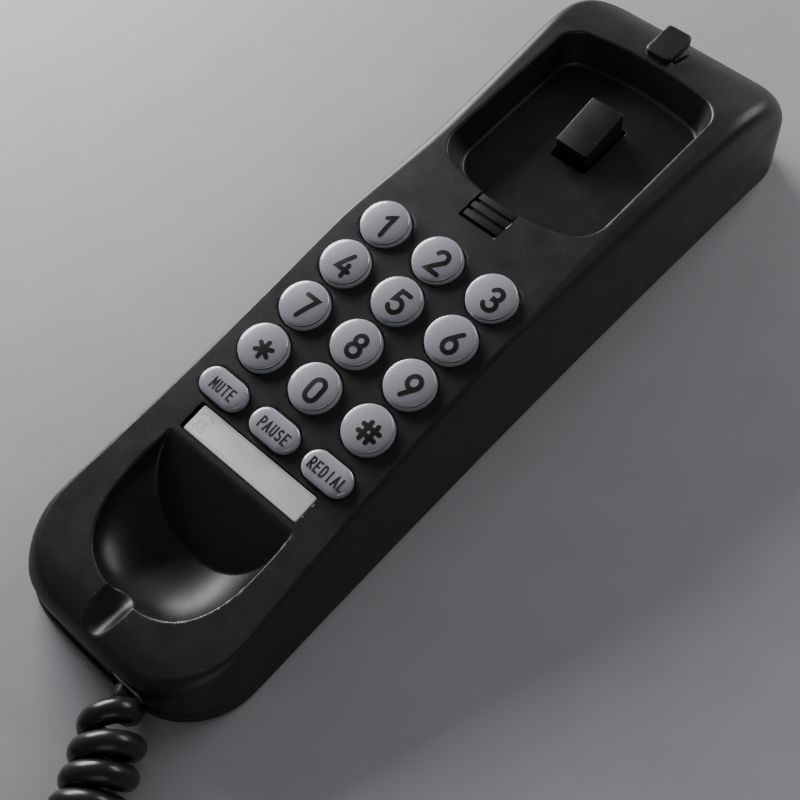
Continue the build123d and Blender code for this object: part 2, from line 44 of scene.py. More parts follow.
# ---- driving sizes, the same as the CAD's ---------------------------------------------------------
FOOT, BAND, WALL = 1.0, 3.0, 2.2
MOUTH_END, EAR_END = -106.3, 105.0
DIAL_Y, DIAL_Z, DIAL_TILT = -18.0, 29.0, math.radians(10.5)
EAR_TILT = math.radians(4.0)
BREAK_RUN = 12.4
STATIONS_Y = (-78.0, -6.0, 57.0)
FOOT_HALF = (29.9, 27.8, 27.2)
ROOF_HALF = (22.6, 24.4, 28.0)
ROOF = 45.0
MOUTH_CORNER, EAR_CORNER = 18.0, 10.5
EAR_LEAN, EAR_BOW = 0.2, 1.0
MOUTH_FALL, EAR_FALL = (4.0, 9.5), (34.0, 36.0)
MOUTH_ROUND, EAR_ROUND = 3.0, 3.0
BREAK_Y = DIAL_Y + BREAK_RUN
BREAK_Z = DIAL_Z + BREAK_RUN * math.tan(DIAL_TILT)
DIAL_N = (-math.sin(DIAL_TILT), math.cos(DIAL_TILT))
EAR_N = (-math.sin(EAR_TILT), math.cos(EAR_TILT))
KEY_X, KEY_Y, KEY_R = 15.5, 13.0, 5.75
PILL_Y, PILL_LONG, PILL_WIDE = -31.8, 12.4, 7.0
LABEL_Y, LABEL_LONG, LABEL_WIDE, LABEL_DEPTH = -40.2, 35.0, 7.2, 1.3
CORD_D, COIL_OD = 5.2, 15.5
JACK_X, JACK_Z = 12.0, 5.4


# ---- camera ---------------------------------------------------------------------------------------
def make_camera():
    data = bpy.data.cameras.new("camera")
    data.sensor_width = 36.0
    data.lens = 59.72
    data.clip_start = 0.01
    cam = bpy.data.objects.new("camera", data)
    cam.location = (0.1237, -0.13047, 0.25792)
    cam.rotation_euler = (math.radians(32.7191), math.radians(2.1924), math.radians(43.0494))
    bpy.context.scene.collection.objects.link(cam)
    bpy.context.scene.camera = cam


make_camera()


# ---- small helpers --------------------------------------------------------------------------------
def link(name, mesh):
    ob = bpy.data.objects.new(name, mesh)
    bpy.context.scene.collection.objects.link(ob)
    return ob


def mesh_from(name, verts, faces, smooth=True):
    mesh = bpy.data.meshes.new(name)
    mesh.from_pydata([tuple(v) for v in verts], [], [tuple(f) for f in faces])
    mesh.update()
    if smooth:
        mesh.shade_smooth()
    return mesh


def face_drop(along):
    return max(0.0, along - BREAK_RUN) * math.tan(DIAL_TILT - EAR_TILT)


def dial_frame(x, along, lift=0.0):
    """The frame at a place on the dial: x to the right, y up the slope, z out of the face, in metres."""
    c, s = math.cos(DIAL_TILT), math.sin(DIAL_TILT)
    out = lift - face_drop(along)
    place = Vector((x, DIAL_Y + along * c - out * s, DIAL_Z + along * s + out * c)) * MM
    return Matrix.Translation(place) @ Matrix.Rotation(DIAL_TILT, 4, "X")


# ---- solids as distance fields: negative inside, in millimetres -----------------------------------
def cut(a, b, r):
    """Where both a and b hold, with a round of radius r where they meet."""
    u, v = np.maximum(a + r, 0), np.maximum(b + r, 0)
    return np.minimum(np.maximum(a, b), -r) + np.sqrt(u * u + v * v)


def soft_max(a, b, k):
    h = np.maximum(k - np.abs(a - b), 0) / k
    return np.maximum(a, b) + h * h * k / 4


def step01(t):
    t = np.clip(t, 0, 1)
    return t * t * (3 - 2 * t)


def quarter(a, b, ra, rb, lean):
    """Two planes joined by a quarter ellipse that leaves them ra and rb before their corner."""
    u, v = np.maximum(a / ra + 1, 1e-6), np.maximum(b / rb + 1, 1e-6)
    length = np.sqrt(u * u + v * v)
    p, q = u / ra, v / rb
    steep = np.sqrt(p * p + q * q + 2 * p * q * lean) / length
    return np.where((a > -ra) & (b > -rb), (length - 1) / steep, np.maximum(a, b))


def over_dial(y, z):
    """Height over the dial's plane."""
    return (y - DIAL_Y) * DIAL_N[0] + (z - DIAL_Z) * DIAL_N[1]


def along_dial(y, z):
    return (y - DIAL_Y) * DIAL_N[1] - (z - DIAL_Z) * DIAL_N[0]


def over_ear(y, z):
    """Height over the plane round the ear recess."""
    return (y - BREAK_Y) * EAR_N[0] + (z - BREAK_Z) * EAR_N[1]


def across(y, at_mouth, at_waist, at_ear):
    """A half width that passes through three values at the body's three stations."""
    (a, b), s = (STATIONS_Y[0] - STATIONS_Y[1], STATIONS_Y[2] - STATIONS_Y[1]), y - STATIONS_Y[1]
    bend = ((at_mouth - at_waist) / a - (at_ear - at_waist) / b) / (a - b)
    return at_waist + ((at_mouth - at_waist) / a - bend * a) * s + bend * s * s


def wall_field(x, y, z):
    """The body's side and end walls."""
    t = (z - FOOT) / ROOF
    halves = [foot + (roof - foot) * t for foot, roof in zip(FOOT_HALF, ROOF_HALF)]
    side = (np.abs(x) - across(y, *halves)) * 0.988
    mouth_wall = MOUTH_END + 1.5 * (x / 29.0) ** 2 - y
    ear_wall = (y - (EAR_END - EAR_LEAN * (z - FOOT) - EAR_BOW * (x / 28.0) ** 2)) / math.hypot(1, EAR_LEAN)
    plan = cut(side, mouth_wall, MOUTH_CORNER)
    return cut(plan, ear_wall, EAR_CORNER)


def top_field(y, z):
    """The top face with the falls at its two ends."""
    dial, ear = over_dial(y, z), over_ear(y, z)
    mouth_end = quarter(dial, MOUTH_END - y, *MOUTH_FALL, 0.18)
    ear_end = quarter(ear, y - EAR_END, *EAR_FALL, -0.07)
    return np.maximum(soft_max(dial, ear, 1.05), np.maximum(mouth_end, ear_end))


def body_field(x, y, z):
    """The outer form: walls and top face, with a crease that widens into rounds towards both ends."""
    top, wall = top_field(y, z), wall_field(x, y, z)
    radius = 0.9 + MOUTH_ROUND * step01((-82 - y) / 24) + 2.6 * step01((y + 5) / 40)
    radius = radius + EAR_ROUND * step01((y - 80) / 18)
    return cut(top, wall, radius)


def recess_field(x, y, z):
    deep = -over_ear(y, z) / 8.5
    low = (21.8 + 0.0094 * x * x + 4.0 * deep - y) * 0.905
    high = y - (76.3 - 0.0067 * x * x - 2.6 * deep)
    side = np.abs(x) - (21.8 - 1.3 * deep)
    plan = cut(cut(side, low, 5.0), high, 5.0)
    return cut(plan, (deep - 1) * 8.5, 0.7)


def bowl_field(x, y, z):
    """The scoop for the mouthpiece, a squarish ellipse, cut off by the ramp under its straight edge."""
    out, along = over_dial(y, z), along_dial(y, z)
    p = 2.6
    u, v = np.abs(x) / 18.8, np.abs(along + 54.0) / 23.5
    g = np.maximum((u ** p + v ** p) ** (1 / p), 1e-4)
    gx, gy = (u / g) ** (p - 1) / 18.8, (v / g) ** (p - 1) / 23.5
    h = np.maximum(-out, 0) / 11.0
    size = np.sqrt(g * g + h * h)
    steep = np.sqrt((g * gx) ** 2 + (g * gy) ** 2 + (h / 11.0) ** 2) / size
    scoop = (size - 1) / np.maximum(steep, 0.02)
    ramp = (-0.65 * (-45.6 - along) - out) / math.sqrt(1 + 0.65 ** 2)
    return cut(scoop, ramp, 0.25)


def notch_field(x, y, z):
    low = 15.9
    channel = np.where(z < low, np.sqrt(x * x + (z - low) ** 2), np.abs(x)) - 4.0
    return np.maximum(channel, y + 86.0)


def box_field(dx, dy, half_x, half_y, r):
    """A flat rectangle with corners of radius r."""
    u, v = np.abs(dx) - half_x + r, np.abs(dy) - half_y + r
    outside = np.sqrt(np.maximum(u, 0) ** 2 + np.maximum(v, 0) ** 2)
    return outside + np.minimum(np.maximum(u, v), 0) - r


def key_field(x, y, z):
    """The holes for the round and the pill keys."""
    out, along = over_dial(y, z), along_dial(y, z)
    dx = x - KEY_X * np.clip(np.round(x / KEY_X), -1, 1)
    row = np.clip(np.round(along / KEY_Y + 0.5), -1, 2)
    holes = np.sqrt(dx * dx + (along - (row - 0.5) * KEY_Y) ** 2) - KEY_R - 0.3
    pills = box_field(dx, along - PILL_Y, PILL_LONG / 2 + 0.3, PILL_WIDE / 2 + 0.3, PILL_WIDE / 2 + 0.29)
    return np.maximum(np.minimum(holes, pills), -out - 7.0)


def pocket_field(x, y, z):
    """The label's pocket, the hook's slot, the button's window and the openings for slider and plugs."""
    out, along, ear = over_dial(y, z), along_dial(y, z), over_ear(y, z)
    label = np.maximum(box_field(x, along - LABEL_Y, LABEL_LONG / 2, LABEL_WIDE / 2, 0.5), -out - LABEL_DEPTH)
    hook = np.maximum(box_field(x, y - 19.9, 5.4, 6.0, 0.3), -ear - 5.2)
    window = np.maximum(box_field(x, y - 53.9, 5.0, 8.0, 0.3), np.maximum(-ear - 12.0, ear + 4.0))
    slider = np.maximum(box_field(y - 40.0, z - 12.6, 6.0, 2.2, 0.4), x + 20.0)
    jack = np.maximum(box_field(x - JACK_X, z - JACK_Z, 4.15, 3.6, 0.3), y + 97.0)
    line = np.maximum(box_field(x, z - 8.1, 6.15, 4.8, 0.3), 92.0 - y)
    slit = np.maximum(box_field(x - 3.9, y - 83.6, 0.45, 4.2, 0.2), -ear - 4.5)
    found = label
    for part in (hook, window, slider, jack, line, slit):
        found = np.minimum(found, part)
    return found


def tongue_field(x, y, z):
    """The flat tab that carries the top face on over the falling ear end."""
    ear = over_ear(y, z)
    plan = box_field(x, y - 82.7, 3.45, 4.9, 1.3)
    return cut(plan, np.abs(ear + 0.75) - 1.15, 0.3)


def post_field(x, y):
    mouth = np.hypot(np.abs(x) - 21.5, y + 90.0)
    ear = np.hypot(np.abs(x) - 16.5, y - 90.0)
    return np.minimum(mouth, ear)


def housing_field(x, y, z):
    body = body_field(x, y, z)
    recess, bowl = recess_field(x, y, z), bowl_field(x, y, z)
    notch, keys, pockets = notch_field(x, y, z), key_field(x, y, z), pocket_field(x, y, z)
    posts = post_field(x, y)
    ear = over_ear(y, z)
    pocket_wall = np.maximum(box_field(x, y - 18.0, 6.9, 5.5, 0.4), -ear - 6.6)
    cavity = body + WALL
    for part in (recess, bowl, notch):
        cavity = np.maximum(cavity, WALL - part)
    cavity = np.maximum(cavity, np.maximum(3.2 - posts, -pocket_wall))
    solid = cut(body, -recess, 0.5)
    solid = cut(solid, -bowl, 0.45)
    solid = cut(solid, -notch, 0.4)
    solid = np.minimum(solid, tongue_field(x, y, z))
    solid = cut(solid, -keys, 0.25)
    solid = np.maximum(solid, -pockets)
    solid = np.maximum(solid, -cavity)
    solid = np.maximum(solid, -np.maximum(posts - 1.25, z - 11.0))
    return np.maximum(solid, FOOT + BAND - z)


# ---- meshes from fields ---------------------------------------------------------------------------
def slopes(field, points, e=0.02):
    """The field's unit gradient at each point."""
    x, y, z = points.T
    g = np.stack([field(x + e, y, z) - field(x - e, y, z), field(x, y + e, z) - field(x, y - e, z),
                  field(x, y, z + e) - field(x, y, z - e)], axis=1)
    return g / np.maximum(np.linalg.norm(g, axis=1, keepdims=True), 1e-9)


def contour(field, low, high, step):
    """Vertices and quads of the field's zero surface: one vertex in each crossed cell, at its best corner."""
    axes = [np.arange(a, b + step, step) for a, b in zip(low, high)]
    shape = tuple(len(a) for a in axes)
    values = np.empty(shape)
    for i, x in enumerate(axes[0]):
        values[i] = field(np.full((1, 1), x), axes[1][:, None], axes[2][None, :])
    inside = values < 0
    strides = np.array([shape[1] * shape[2], shape[2], 1])
    cells, points = [], []
    for axis in range(3):
        head = [slice(None)] * 3
        tail = [slice(None)] * 3
        head[axis], tail[axis] = slice(0, -1), slice(1, None)
        ids = np.argwhere(inside[tuple(head)] != inside[tuple(tail)])
        far = ids.copy()
        far[:, axis] += 1
        va, vb = values[tuple(ids.T)], values[tuple(far.T)]
        spot = ids.astype(float)
        spot[:, axis] += va / (va - vb)
        b, c = (axis + 1) % 3, (axis + 2) % 3
        base = ids @ strides
        ring = np.stack([base, base - strides[b], base - strides[b] - strides[c], base - strides[c]], axis=1)
        ring[va > 0] = ring[va > 0][:, ::-1]
        cells.append(ring)
        points.append(np.array(low) + spot * step)
    points = np.concatenate(points)
    cells = np.concatenate(cells)
    normals = slopes(field, points)
    used, index = np.unique(cells, return_inverse=True)
    index = index.reshape(cells.shape)
    n = len(used)
    ata, atb, mid, count = np.zeros((n, 3, 3)), np.zeros((n, 3)), np.zeros((n, 3)), np.zeros(n)
    dots = (normals * points).sum(1)
    for k in range(4):
        which = index[:, k]
        count += np.bincount(which, minlength=n)
        for i in range(3):
            mid[:, i] += np.bincount(which, points[:, i], n)
            atb[:, i] += np.bincount(which, normals[:, i] * dots, n)
            for j in range(3):
                ata[:, i, j] += np.bincount(which, normals[:, i] * normals[:, j], n)
    mid /= count[:, None]
    pull = 0.04 * count[:, None, None] * np.eye(3)
    rest = atb - (ata @ mid[:, :, None])[:, :, 0]
    place = mid + np.linalg.solve(ata + pull, rest[:, :, None])[:, :, 0]
    cell = np.stack([used // strides[0], used // strides[1] % shape[1], used % shape[2]], axis=1)
    centre = np.array(low) + (cell + 0.5) * step
    place = np.clip(place, centre - 0.6 * step, centre + 0.6 * step)
    return place, index


def field_mesh(name, field, low, high, step):
    """A mesh of the field; its corner normals come from the field, so rounds are smooth and edges crisp."""
    place, quads = contour(field, low, high, step)
    mesh = bpy.data.meshes.new(name)
    mesh.from_pydata((place * MM).tolist(), [], quads.tolist())
    mesh.update()
    mesh.shade_smooth()
    middle = place[quads].mean(axis=1)
    corners = place[quads] * 0.8 + middle[:, None, :] * 0.2
    normals = slopes(field, corners.reshape(-1, 3))
    mesh.normals_split_custom_set(normals.tolist())
    return mesh


# ---- materials ------------------------------------------------------------------------------------
def new_material(name):
    mat = bpy.data.materials.new(name)
    mat.use_nodes = True
    return mat, mat.node_tree.nodes, mat.node_tree.links, mat.node_tree.nodes["Principled BSDF"]


def noise(tree_nodes, links, scale, detail=2.0, rough=0.5, space="Object", squash=None):
    where = tree_nodes.new("ShaderNodeTexCoord")
    texture = tree_nodes.new("ShaderNodeTexNoise")
    texture.inputs["Scale"].default_value = scale
    texture.inputs["Detail"].default_value = detail
    texture.inputs["Roughness"].default_value = rough
    source = where.outputs[space]
    if squash:
        mapping = tree_nodes.new("ShaderNodeMapping")
        mapping.inputs["Scale"].default_value = squash
        links.new(source, mapping.inputs["Vector"])
        source = mapping.outputs["Vector"]
    links.new(source, texture.inputs["Vector"])
    return texture


def ramp(tree_nodes, links, source, stops):
    node = tree_nodes.new("ShaderNodeValToRGB")
    node.color_ramp.elements[0].position, node.color_ramp.elements[0].color = stops[0]
    node.color_ramp.elements[1].position, node.color_ramp.elements[1].color = stops[-1]
    for position, colour in stops[1:-1]:
        node.color_ramp.elements.new(position).color = colour
    links.new(source, node.inputs["Fac"])
    return node


def span(tree_nodes, links, source, low, high):
    node = tree_nodes.new("ShaderNodeMapRange")
    node.inputs["From Min"].default_value = 0.25
    node.inputs["From Max"].default_value = 0.75
    node.inputs["To Min"].default_value = low
    node.inputs["To Max"].default_value = high
    links.new(source, node.inputs["Value"])
    return node.outputs["Result"]


def grey(v, tint=(1.0, 1.0, 1.03)):
    return (v * tint[0], v * tint[1], v * tint[2], 1.0)


def plastic(name, dark, light, rough, grain, depth, tint=(1.0, 1.0, 1.03), specular=0.5, dust=0.0):
    """Moulded plastic: two tones of one colour, an uneven gloss and a grain `grain` metres across."""
    mat, tn, links, shader = new_material(name)
    broad = noise(tn, links, 45.0, 3.0)
    tone = ramp(tn, links, broad.outputs["Fac"], [(0.3, grey(dark, tint)), (0.7, grey(light, tint))])
    colour = tone.outputs["Color"]
    if dust:
        speck = noise(tn, links, 1500.0, 1.0)
        spots = ramp(tn, links, speck.outputs["Fac"], [(0.74, (0, 0, 0, 1)), (0.80, (1, 1, 1, 1))])
        mix = tn.new("ShaderNodeMixRGB")
        mix.inputs["Color2"].default_value = grey(dust, (1, 1, 1))
        links.new(spots.outputs["Color"], mix.inputs["Fac"])
        links.new(colour, mix.inputs["Color1"])
        colour = mix.outputs["Color"]
    links.new(colour, shader.inputs["Base Color"])
    gloss = noise(tn, links, 160.0, 2.0)
    links.new(span(tn, links, gloss.outputs["Fac"], rough[0], rough[1]), shader.inputs["Roughness"])
    if depth:
        fine = noise(tn, links, 1.0 / grain, 1.5, 0.6)
        bump = tn.new("ShaderNodeBump")
        bump.inputs["Strength"].default_value = 0.6
        bump.inputs["Distance"].default_value = depth
        links.new(fine.outputs["Fac"], bump.inputs["Height"])
        links.new(bump.outputs["Normal"], shader.inputs["Normal"])
    shader.inputs["Specular IOR Level"].default_value = specular
    return mat


def coated(mat, weight, rough):
    shader = mat.node_tree.nodes["Principled BSDF"]
    shader.inputs["Coat Weight"].default_value = weight
    shader.inputs["Coat Roughness"].default_value = rough
    return mat


def metal(name, colour, rough, squash=(1, 12, 1)):
    mat, tn, links, shader = new_material(name)
    brushed = noise(tn, links, 900.0, 3.0, squash=squash)
    low = tuple(c * 0.8 for c in colour[:3]) + (1,)
    tone = ramp(tn, links, brushed.outputs["Fac"], [(0.3, low), (0.7, colour)])
    links.new(tone.outputs["Color"], shader.inputs["Base Color"])
    links.new(span(tn, links, brushed.outputs["Fac"], rough[0], rough[1]), shader.inputs["Roughness"])
    shader.inputs["Metallic"].default_value = 1.0
    return mat


def make_materials():
    made = {
        "shell": plastic("shell_black", 0.0095, 0.0125, (0.37, 0.47), 0.00045, 0.00004, dust=0.07),
        "smooth": plastic("smooth_black", 0.009, 0.012, (0.34, 0.44), 0.0009, 0.00001, dust=0.06),
        "satin": plastic("satin_black", 0.010, 0.013, (0.32, 0.42), 0.0007, 0.00001),
        "button": plastic("button_black", 0.009, 0.012, (0.34, 0.44), 0.0007, 0.00001, dust=0.08),
        "cord": plastic("cord_vinyl", 0.010, 0.016, (0.24, 0.36), 0.0012, 0.00002),
        "key": coated(plastic("key_silver", 0.38, 0.44, (0.26, 0.34), 0.002, 0.0, (0.95, 0.97, 1.09)),
                      1.0, 0.04),
        "skirt": coated(plastic("key_clear", 0.40, 0.48, (0.08, 0.16), 0.002, 0.0, (0.96, 0.98, 1.08), 0.9),
                        1.0, 0.03),
        # the near-black ink prints the figures and words, and also serves as painted shade in the keys'
        # grooves under their rims
        "ink_and_groove_shade": plastic("ink_and_groove_shade", 0.006, 0.009, (0.35, 0.5), 0.001, 0.0),
        "paper": plastic("label_paper", 0.90, 0.94, (0.5, 0.6), 0.0006, 0.000008, (0.99, 0.985, 1.03)),
        "label_edge": plastic("label_edge", 0.55, 0.65, (0.4, 0.5), 0.001, 0.0),
        "faint": plastic("faint_ink", 0.50, 0.56, (0.5, 0.6), 0.001, 0.0),
        "board": plastic("circuit_board", 0.06, 0.10, (0.3, 0.45), 0.002, 0.00002, (0.35, 1.0, 0.45)),
        "rubber": plastic("black_rubber", 0.020, 0.030, (0.65, 0.8), 0.0008, 0.00003),
        "plug": coated(plastic("clear_plug", 0.42, 0.52, (0.12, 0.2), 0.002, 0.0, (1.0, 0.99, 0.96)),
                       0.8, 0.05),
        "gold": metal("gold_contact", (0.83, 0.62, 0.25, 1), (0.2, 0.3)),
        "steel": metal("zinc_steel", (0.62, 0.62, 0.63, 1), (0.28, 0.42)),
        "brass": metal("brass_disc", (0.75, 0.58, 0.28, 1), (0.25, 0.4)),
        "band": plastic("tie_black", 0.030, 0.040, (0.4, 0.55), 0.0006, 0.00002),
    }
    return made


MATS = make_materials()


def paint(ob, name):
    ob.data.materials.clear()
    ob.data.materials.append(MATS[name])
    return ob


# ---- handset cord ---------------------------------------------------------------------------------
COIL_Z = COIL_OD / 2 + 0.05
NEAR_TAIL = [(12.0, -105.1, 5.4), (13.2, -107.8, 5.6), (16.2, -111.2, 7.6)]
ROUTE = [(24.2, -122.6), (30.0, -136), (26.5, -156), (15.5, -176), (13, -196), (22.8, -208.6), (22.8, -224.6),
         (11.5, -235.9), (-4.5, -235.9), (-15.8, -224.6), (-15.8, -208.6), (-6, -196), (-5.5, -177),
         (-10, -159.5)]
FAR_TAIL = [(-11.76, -152.2, 5.6), (-14.4, -143.2, 3.2)]
COIL_PITCH = 5.25


def nurbs(name, points, radius=0.0):
    """A smooth open curve with these control points, in millimetres."""
    curve = bpy.data.curves.new(name, "CURVE")
    curve.dimensions = "3D"
    spline = curve.splines.new("NURBS")
    spline.points.add(len(points) - 1)
    for at, p in zip(spline.points, points):
        at.co = (*(Vector(p) * MM), 1.0)
    spline.order_u = 3
    spline.use_endpoint_u = True
    curve.bevel_depth = radius * MM
    ob = bpy.data.objects.new(name, curve)
    bpy.context.scene.collection.objects.link(ob)
    return ob


def read_line(ob):
    """The points that a curve with no bevel runs through, in millimetres."""
    depsgraph = bpy.context.evaluated_depsgraph_get()
    mesh = bpy.data.meshes.new_from_object(ob.evaluated_get(depsgraph))
    points = [v.co / MM for v in mesh.vertices]
    bpy.data.meshes.remove(mesh)
    return points


def even_line(points, gap):
    """The same line, with a point every gap of its length."""
    made, spare = [points[0].copy()], 0.0
    for a, b in zip(points, points[1:]):
        run = (b - a).length
        at = gap - spare
        while at <= run:
            made.append(a.lerp(b, at / run))
            at += gap
        spare = run - (at - gap)
    return made


def coil_points():
    """Control points of the coiled cord: a helix round the route, straight at both of its ends."""
    guide = nurbs("cord_guide", NEAR_TAIL + [(x, y, COIL_Z) for x, y in ROUTE] + FAR_TAIL)
    guide.data.resolution_u = 24
    line = even_line(read_line(guide), 0.1)
    bpy.data.objects.remove(guide)
    whole = len(line) * 0.1
    wide = (COIL_OD - CORD_D) / 2
    side = Vector((1, 0, 0))
    turn, step, made = math.radians(200), math.radians(22.5), [line[0], line[12]]
    passed = 0.0
    for i in range(12, len(line) - 12):
        along = (line[i + 12] - line[i - 12]).normalized()
        side = (side - along * side.dot(along)).normalized()
        s = i * 0.1
        radius = min(wide, line[i].z - CORD_D / 2 - 0.05)
        radius *= step01((s - 1.0) / 7.0) * step01((whole - 5.0 - s) / 12.0)
        bend = (line[i + 12] - line[i]).angle(line[i] - line[i - 12]) / 1.2
        loose = 1.0 + 0.5 * (1.0 - step01((s - 2.0) / 10.0))
        pitch = max(COIL_PITCH * loose, (CORD_D + 0.1) / (1.0 - wide * bend))
        passed += 2 * math.pi * 0.1 / pitch
        if passed >= step:
            passed -= step
            turn += step
            across = along.cross(side)
            made.append(line[i] + (side * math.cos(turn) + across * math.sin(turn)) * radius)
    return made + [line[-8], line[-1]]


def make_cord():
    cord = nurbs("curly_lead", coil_points(), CORD_D / 2)
    cord.data.bevel_resolution = 5
    cord.data.resolution_u = 3
    cord.data.use_fill_caps = True
    cord.data.materials.append(MATS["cord"])
    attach(cord, "base")
    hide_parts("curly_cord", "near_tail", "far_tail")



# ---- housing and cover ----------------------------------------------------------------------------
def make_housing():
    step = 0.55
    mesh = field_mesh("housing", housing_field, (-31.0, -107.3, 3.2), (31.0, 107.3, 40.2), step)
    ob = paint(link("housing", mesh), "shell")
    mesh.materials.append(MATS["smooth"])
    centre = np.empty(len(mesh.polygons) * 3)
    mesh.polygons.foreach_get("center", centre)
    x, y, z = centre.reshape(-1, 3).T / MM
    worn = np.minimum(recess_field(x, y, z), np.minimum(bowl_field(x, y, z), notch_field(x, y, z))) < 0.28
    mesh.polygons.foreach_set("material_index", worn.astype(int))
    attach(ob, "base")
    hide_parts("upper_housing")
    return ob


make_housing()


# ---- keys -----------------------------------------------------------------------------------------
def ring_solid(name, rings, place, mats, bands):
    """A solid of revolution-like rings, each a list of points; bands gives each band's material."""
    verts, faces, tags = [], [], []
    n = len(rings[0])
    for ring in rings:
        verts += [place @ (Vector(p) * MM) for p in ring]
    for k in range(len(rings) - 1):
        for i in range(n):
            j = (i + 1) % n
            faces.append((k * n + i, k * n + j, (k + 1) * n + j, (k + 1) * n + i))
            tags.append(bands[k])
    faces.append(tuple(reversed(range(n))))
    tags.append(bands[0])
    faces.append(tuple((len(rings) - 1) * n + i for i in range(n)))
    tags.append(bands[-1])
    mesh = mesh_from(name, verts, faces)
    for m in mats:
        mesh.materials.append(MATS[m])
    mesh.polygons.foreach_set("material_index", tags)
    mesh.set_sharp_from_angle(angle=math.radians(40))
    return link(name, mesh)


def round_ring(r, z, n=64):
    return [(r * math.cos(2 * math.pi * i / n), r * math.sin(2 * math.pi * i / n), z) for i in range(n)]


def pill_ring(inset, z, n=32):
    r, half = PILL_WIDE / 2 - inset, (PILL_LONG - PILL_WIDE) / 2
    ring = []
    for i in range(n):
        a = 2 * math.pi * (i + 0.5) / n - math.pi / 2
        ring.append((r * math.cos(a) + math.copysign(half, math.cos(a)), r * math.sin(a), z))
    return ring


def key_cap(name, place):
    """A clear cap: a skirt wall, a fine groove under the rim coloured near-black as painted shade, and a
    shallow dome over the silver disc.
    """
    low, rim = -3.6, 1.55
    rings = [(KEY_R + 0.6, low), (KEY_R + 0.6, low + 1.0), (KEY_R, low + 1.0), (KEY_R, rim - 0.95),
             (KEY_R - 0.08, rim - 0.8), (KEY_R - 0.32, rim - 0.72), (KEY_R - 0.62, rim - 0.68),
             (KEY_R - 0.62, rim - 0.4), (KEY_R - 0.24, rim - 0.28), (KEY_R - 0.18, rim - 0.08),
             (KEY_R - 0.3, rim + 0.12), (KEY_R - 0.55, rim + 0.24)]
    # band 2, the groove under the rim, takes the near-black ink: painted shade, not print
    bands = [1] * 3 + [1, 1, 2, 2, 2, 1, 1, 0]
    for share in (0.8, 0.62, 0.42, 0.2, 0.04):
        r = (KEY_R - 0.55) * share
        rings.append((r, rim + 0.24 + 0.66 * (1 - share ** 2)))
        bands.append(0)
    return ring_solid(name, [round_ring(r, z) for r, z in rings], place, ("key", "skirt", "ink_and_groove_shade"), bands)


def pill_cap(name, place):
    low, rim = -3.6, 1.35
    rings = [(-0.6, low), (-0.6, low + 1.0), (0.0, low + 1.0), (0.0, rim - 0.8), (0.3, rim - 0.7),
             (0.3, rim - 0.55), (0.05, rim - 0.45), (0.08, rim - 0.2), (0.3, rim), (0.7, rim + 0.14),
             (1.5, rim + 0.3), (2.6, rim + 0.36)]
    # band 2, the step under the rim, takes the near-black ink: painted shade, not print
    bands = [1] * 3 + [1, 2, 1, 1, 1, 0, 0, 0]
    return ring_solid(name, [pill_ring(i, z) for i, z in rings], place, ("key", "skirt", "ink_and_groove_shade"), bands)


# ---- drawn figures: strokes on a grid 4 wide and 6 high -------------------------------------------
def arc(cx, cy, rx, ry, start, end, n=14):
    turns = [math.radians(start + (end - start) * i / n) for i in range(n + 1)]
    return [(cx + rx * math.cos(a), cy + ry * math.sin(a)) for a in turns]


GLYPHS = {
    "0": [arc(2, 4.2, 1.6, 1.8, 0, 180) + arc(2, 1.8, 1.6, 1.8, 180, 360) + [(3.6, 4.2)]],
    "1": [[(0.9, 4.7), (2.5, 6), (2.5, 0)]],
    "2": [arc(2, 4.35, 1.6, 1.65, 165, -30) + [(0.4, 0), (3.8, 0)]],
    "3": [arc(1.9, 4.5, 1.5, 1.5, 160, -90) + arc(1.9, 1.6, 1.7, 1.6, 90, -160)],
    "4": [[(2.3, 6), (0.3, 1.6), (3.8, 1.6)], [(2.9, 3.2), (2.9, 0)]],
    "5": [[(3.4, 6), (0.9, 6), (0.6, 3.3)] + arc(1.9, 1.9, 1.75, 1.85, 125, -155)],
    "6": [[(2.9, 6), (0.8, 3.1)] + arc(2, 1.8, 1.65, 1.8, 150, 510)],
    "7": [[(0.3, 6), (3.7, 6), (1.6, 0)]],
    "8": [arc(2, 4.55, 1.4, 1.45, -90, 270), arc(2, 1.6, 1.7, 1.6, 90, 450)],
    "9": [[(1.1, 0), (3.2, 2.9)] + arc(2, 4.2, 1.65, 1.8, -30, 330)],
    "star": [[(2, 5.2), (2, 0.8)], [(0.1, 4.1), (3.9, 1.9)], [(0.1, 1.9), (3.9, 4.1)]],
    "hash": [[(1.0, 5.4), (1.0, 0.6)], [(3.0, 5.4), (3.0, 0.6)], [(-0.4, 4.0), (4.4, 4.0)],
             [(-0.4, 2.0), (4.4, 2.0)]],
    "A": [[(0, 0), (2, 6), (4, 0)], [(0.9, 2), (3.1, 2)]],
    "D": [[(0.4, 0), (0.4, 6), (1.8, 6)] + arc(1.8, 3, 2.0, 3, 90, -90) + [(0.4, 0)]],
    "E": [[(3.6, 6), (0.4, 6), (0.4, 0), (3.6, 0)], [(0.4, 3.1), (3.2, 3.1)]],
    "I": [[(2, 0), (2, 6)]],
    "L": [[(0.4, 6), (0.4, 0), (3.5, 0)]],
    "M": [[(0, 0), (0.2, 6), (2, 2), (3.8, 6), (4, 0)]],
    "P": [[(0.4, 0), (0.4, 6), (2.2, 6)] + arc(2.2, 4.4, 1.6, 1.6, 90, -90) + [(0.4, 2.8)]],
    "R": [[(0.4, 0), (0.4, 6), (2.2, 6)] + arc(2.2, 4.4, 1.6, 1.6, 90, -90) + [(0.4, 2.8)],
          [(2, 2.8), (3.9, 0)]],
    "S": [arc(2, 4.45, 1.55, 1.5, 40, 235) + arc(2, 1.6, 1.65, 1.6, 60, -145)],
    "T": [[(0, 6), (4, 6)], [(2, 6), (2, 0)]],
    "U": [[(0.4, 6)] + arc(2, 1.7, 1.6, 1.7, 180, 360) + [(3.6, 6)]],
}


